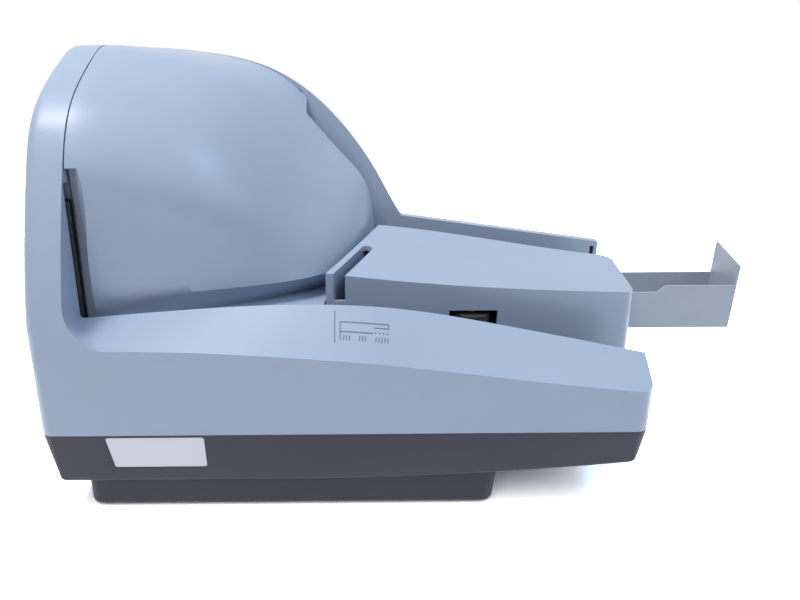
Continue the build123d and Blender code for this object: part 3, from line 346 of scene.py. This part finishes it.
@dataclass
class RailMark:
    """Printed sketch of a document's position on the front rail: plain thin lines, no lettering.

    Its lines are given in millimetres across the casing and back from its front face, and lie on
    the rail's top.
    """

    node: str = "outer_cover"
    line_width: float = 0.45
    lift: float = 0.05
    stop_line: tuple[float, float, float] = (119.6, 6.2, 17.6)
    sheet_left: float = 121.8
    sheet_right: float = 141.6
    sheet_front: float = 10.4
    sheet_back: float = 13.8
    strip_rows: int = 12
    rail_depth: float = 20.0
    rail_low: float = 66.0
    rail_upward: float = 0.4
    tick_front: float = 7.4
    tick_back: float = 9.2
    tick_lean: float = 0.3
    tick_places: tuple[float, ...] = (1.3, 2.5, 3.7, 7.7, 8.9, 10.1, 14.3, 15.5, 16.7, 17.9, 19.1)
    tab_width: float = 6.0
    tab_height: float = 1.5
    line_gap: float = 6.4
    dot_places: tuple[float, ...] = (0.6, 2.2, 3.8, 5.4)
    dot_low: float = 0.2
    dot_high: float = 0.6
    fit_margin: float = 25.0
    fit_unit: float = 20.0

    def strokes(self) -> list[tuple[float, float, float, float]]:
        """List the lines as start and end places.

        Returns:
            Start across, start back, end across and end back of each line.
        """
        left, right = self.sheet_left, self.sheet_right
        front, back = self.sheet_front, self.sheet_back
        low, high = self.tick_front, self.tick_back
        under_tab = back - self.tab_height
        across, stop_front, stop_back = self.stop_line
        lines = [(across, stop_front, across, stop_back)]
        lines += [(left, back, right, back), (left, low, left, back)]
        lines += [(left, front, right - self.line_gap, front)]
        lines += [(right, under_tab, right, back), (right - self.tab_width, under_tab, right, under_tab)]
        lines += [
            (right - dot, front - self.dot_low, right - dot, front + self.dot_high)
            for dot in self.dot_places
        ]
        lines += [(left + tick, low, left + tick + self.tick_lean, high) for tick in self.tick_places]
        return lines

    def build(self, finish: bpy.types.Material) -> bpy.types.Object:
        """Lay each line on the rail as a strip of flat pieces that follow its surface.

        A strip's points are start + share * way +- side, with side square to the line and half
        its width long.

        Args:
            finish: Ink of the lines.

        Returns:
            The new object.
        """
        rows = self.strip_rows
        lines = np.array(self.strokes())
        start, way = lines[:, :2], lines[:, 2:] - lines[:, :2]
        side = np.stack([-way[:, 1], way[:, 0]], axis=1)
        side *= self.line_width / 2 / np.linalg.norm(side, axis=1, keepdims=True)
        share = np.linspace(0.0, 1.0, rows)[None, :, None, None]
        signs = np.array([1.0, -1.0])[None, None, :, None]
        plan = start[:, None, None] + share * way[:, None, None] + signs * side[:, None, None]
        plan = plan.reshape(-1, 2)
        height = self._rail_height(plan) + self.lift
        verts = np.column_stack([plan[:, 0] - HALF_LENGTH, plan[:, 1] - HALF_DEPTH, height]) * MM
        strips, steps = np.arange(len(lines))[:, None], np.arange(rows - 1)[None, :]
        first = (strips * 2 * rows + steps * 2).reshape(-1, 1)
        faces = first + np.array([[0, 1, 3, 2]])
        mesh = bpy.data.meshes.new("rail_mark")
        mesh.from_pydata(verts.tolist(), [], faces.tolist())
        mesh.materials.append(finish)
        mark = bpy.data.objects.new("rail_mark", mesh)
        bpy.context.scene.collection.objects.link(mark)
        return mark

    def _rail_height(self, plan: np.ndarray) -> np.ndarray:
        """Work out the height of the rail's top under the mark.

        The top is ruled from its front edge to its back edge, so near the mark its height is
        (a + b u + c u^2 + d u^3) (1 + e v), found by least squares from the node's own corners.

        Args:
            plan: Millimetres across the casing and back from its front face, one row per point.

        Returns:
            Height of each point in millimetres.
        """
        mesh = bpy.data.objects[self.node].data
        corners = np.empty(len(mesh.vertices) * 3)
        mesh.vertices.foreach_get("co", corners)
        corners = corners.reshape(-1, 3) / MM + (HALF_LENGTH, HALF_DEPTH, 0.0)
        used = np.empty(len(mesh.loops), dtype=np.int32)
        mesh.loops.foreach_get("vertex_index", used)
        spots = corners[used]
        ways = np.empty(len(mesh.polygons) * 3)
        mesh.polygons.foreach_get("normal", ways)
        upward = np.repeat(ways.reshape(-1, 3)[:, 2], 3) > self.rail_upward
        low, high = self.sheet_left - self.fit_margin, self.sheet_right + self.fit_margin
        near = upward & (spots[:, 0] > low) & (spots[:, 0] < high)
        near &= spots[:, 1] < self.rail_depth + 0.1
        near &= spots[:, 2] > self.rail_low
        terms = self._terms(spots[near, 0], spots[near, 1])
        factors = np.linalg.lstsq(terms, spots[near, 2], rcond=None)[0]
        misfit = np.abs(terms @ factors - spots[near, 2]).max()
        LOG.info("rail mark: %d corners, misfit %.3f mm", near.sum(), misfit)
        return self._terms(plan[:, 0], plan[:, 1]) @ factors

    def _terms(self, across: np.ndarray, back: np.ndarray) -> np.ndarray:
        """Products of the powers of u and v that the rail's height is made of."""
        u = (across - self.sheet_left) / self.fit_unit
        powers = np.stack([np.ones_like(u), u, u**2, u**3], axis=1)
        return np.hstack([powers, powers * back[:, None]])


class ScannerScene:
    """The machine's pieces and their finishes."""

    def __init__(self, frame: dict) -> None:
        """Keep the loaded frame and read each node's slot and body.
        """
        self.frame = frame
        self.finishes = FinishBook()
        record = frame["record"]
        self.slots = {part["node"]: part["material_slot"] for part in record["subparts"]}
        self.bodies = {
            node: body for body, nodes in record["behaviour"]["bodies"].items() for node in nodes
        }

    def dress_nodes(self) -> None:
        """Give every CAD node the finish of its slot."""
        for name, node in self.frame["nodes"].items():
            node.data.materials.clear()
            node.data.materials.append(self.finishes.get(self.slots[name]))
            LOG.info("node %s gets %s", name, self.slots[name])

    def add_piece(self, piece: bpy.types.Object, node: str) -> None:
        """Let a new piece stand for a CAD node, with that node's body, slot and finish.

        Args:
            piece: The new piece.
            node: The CAD node that it replaces.
        """
        piece.data.materials.clear()
        piece.data.materials.append(self.finishes.get(self.slots[node]))
        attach(piece, self.bodies[node])
        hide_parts(node)
        LOG.info("piece %s replaces %s", piece.name, node)

    def add_mark(self, mark: RailMark) -> None:
        """Print a mark on the node that carries it, so that it moves with that node's body.

        Args:
            mark: The mark to print.
        """
        piece = mark.build(self.finishes.get("rail_ink"))
        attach(piece, self.bodies[mark.node])


@dataclass
class Studio:
    """Floor, lamps and camera, as in the photograph: all white, with soft light from above left."""

    focal_length: float = 31.5
    pitch: float = 18.4
    roll: float = -0.45
    camera_place: tuple[float, float, float] = (-40.1, -326.1, 180.3)
    shift_x: float = 0.0625
    floor_size: float = 6.0
    floor_bounce: float = 0.5
    floor_seen: float = 3.1
    sky: Colour = (0.90, 0.95, 1.0)
    sky_top: float = 0.44
    sky_level: float = 0.27
    aim_height: float = 0.08

    def build(self) -> None:
        """Make the floor, the lamps, the world and the camera."""
        self._floor()
        self._lamps()
        self._world()
        self._camera()

    def _floor(self) -> None:
        """Make a floor that is seen as white where nothing shades it, and throws back little light."""
        half = self.floor_size / 2
        mesh = bpy.data.meshes.new("floor")
        corners = [(-half, -half, 0), (half, -half, 0), (half, half, 0), (-half, half, 0)]
        mesh.from_pydata(corners, [], [(0, 1, 2, 3)])
        floor = bpy.data.objects.new("floor", mesh)
        bpy.context.scene.collection.objects.link(floor)
        material = bpy.data.materials.new("floor_white")
        material.use_nodes = True
        nodes = material.node_tree.nodes
        links = material.node_tree.links
        nodes.clear()
        output = nodes.new("ShaderNodeOutputMaterial")
        shader = nodes.new("ShaderNodeBsdfDiffuse")
        blend = nodes.new("ShaderNodeMix")
        blend.data_type = "RGBA"
        blend.inputs[6].default_value = (self.floor_bounce,) * 3 + (1.0,)
        blend.inputs[7].default_value = (self.floor_seen,) * 3 + (1.0,)
        links.new(self._seen(nodes, links), blend.inputs[0])
        links.new(blend.outputs[2], shader.inputs["Color"])
        links.new(shader.outputs["BSDF"], output.inputs["Surface"])
        mesh.materials.append(material)

    def _seen(self, nodes: bpy.types.Nodes, links: bpy.types.NodeLinks) -> bpy.types.NodeSocket:
        """Tell the rays that show the surroundings from those that light the object.

        Args:
            nodes: Nodes of the floor's material or of the world.
            links: Their links.

        Returns:
            Socket that is 1 for camera, glossy and transmission rays, and 0 for all others.
        """
        path = nodes.new("ShaderNodeLightPath")
        mirrored = nodes.new("ShaderNodeMath")
        mirrored.operation = "MAXIMUM"
        links.new(path.outputs["Is Glossy Ray"], mirrored.inputs[0])
        links.new(path.outputs["Is Transmission Ray"], mirrored.inputs[1])
        seen = nodes.new("ShaderNodeMath")
        seen.operation = "MAXIMUM"
        links.new(path.outputs["Is Camera Ray"], seen.inputs[0])
        links.new(mirrored.outputs[0], seen.inputs[1])
        return seen.outputs[0]

    def _lamps(self) -> None:
        """Hang lamps above on the left, before the rail, over the right end and beside it."""
        for name, place, size, power, colour in (
            ("key_lamp", (-0.42, -0.22, 1.05), 0.34, 8.5, (1.0, 0.99, 0.97)),
            ("front_lamp", (-0.35, -1.1, 1.2), 0.9, 3.8, (1.0, 0.98, 0.96)),
            ("window_lamp", (0.66, -0.30, 0.98), 0.28, 2.8, (0.45, 0.72, 1.0)),
            ("fill_lamp", (1.1, -0.6, 0.9), 0.8, 3.0, (0.92, 0.96, 1.0)),
        ):
            lamp = bpy.data.lights.new(name, "AREA")
            lamp.size = size
            lamp.energy = power
            lamp.color = colour
            holder = bpy.data.objects.new(name, lamp)
            bpy.context.scene.collection.objects.link(holder)
            holder.location = place
            aim = Vector((0, 0, self.aim_height)) - Vector(place)
            holder.rotation_euler = aim.to_track_quat("-Z", "Y").to_euler()

    def _world(self) -> None:
        """Show white to the camera, and light the object from a sky that is brightest above."""
        world = bpy.data.worlds.new("pale_room")
        bpy.context.scene.world = world
        world.use_nodes = True
        nodes = world.node_tree.nodes
        links = world.node_tree.links
        nodes.clear()
        output = nodes.new("ShaderNodeOutputWorld")
        place = nodes.new("ShaderNodeTexCoord")
        split = nodes.new("ShaderNodeSeparateXYZ")
        links.new(place.outputs["Generated"], split.inputs["Vector"])
        level = nodes.new("ShaderNodeMapRange")
        level.inputs["From Min"].default_value = 0.0
        level.inputs["From Max"].default_value = 0.8
        level.inputs["To Min"].default_value = self.sky_level
        level.inputs["To Max"].default_value = self.sky_top
        links.new(split.outputs["Z"], level.inputs["Value"])
        soft = nodes.new("ShaderNodeBackground")
        soft.inputs["Color"].default_value = (*self.sky, 1.0)
        links.new(level.outputs["Result"], soft.inputs["Strength"])
        white = nodes.new("ShaderNodeBackground")
        white.inputs["Color"].default_value = (1.0, 1.0, 1.0, 1.0)
        white.inputs["Strength"].default_value = 1.0
        choose = nodes.new("ShaderNodeMixShader")
        links.new(self._seen(nodes, links), choose.inputs["Fac"])
        links.new(soft.outputs["Background"], choose.inputs[1])
        links.new(white.outputs["Background"], choose.inputs[2])
        links.new(choose.outputs["Shader"], output.inputs["Surface"])

    def _camera(self) -> None:
        """Place the camera where the photograph was taken from."""
        data = bpy.data.cameras.new("photo_camera")
        data.lens = self.focal_length
        data.sensor_width = 36.0
        data.shift_x = self.shift_x
        data.clip_start = 0.01
        camera = bpy.data.objects.new("photo_camera", data)
        bpy.context.scene.collection.objects.link(camera)
        tilt = Matrix.Rotation(math.radians(90 - self.pitch), 4, "X")
        turn = Matrix.Rotation(math.radians(self.roll), 4, "Z")
        camera.matrix_world = Matrix.Translation(Vector(self.camera_place) * MM) @ tilt @ turn
        bpy.context.scene.camera = camera


def main() -> None:
    """Load the frame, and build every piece."""
    logging.basicConfig(level=logging.INFO, format="%(name)s: %(message)s")
    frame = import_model()
    scanner = ScannerScene(frame)
    scanner.dress_nodes()
    for node, radius in (
        ("outer_cover", 0.6),
        ("dome_cover", 0.4),
        ("island_cover", 0.8),
        ("deck_frame", 0.4),
        ("lower_housing", 0.6),
        ("bottom_cover", 0.8),
        ("exit_tray", 0.25),
    ):
        piece = MouldedCopy(node, radius).build(node + "_moulding")
        scanner.add_piece(piece, node)
    scanner.add_mark(RailMark())
    Studio().build()
    bpy.context.scene.view_settings.view_transform = "Standard"


if __name__ == "__main__":
    main()
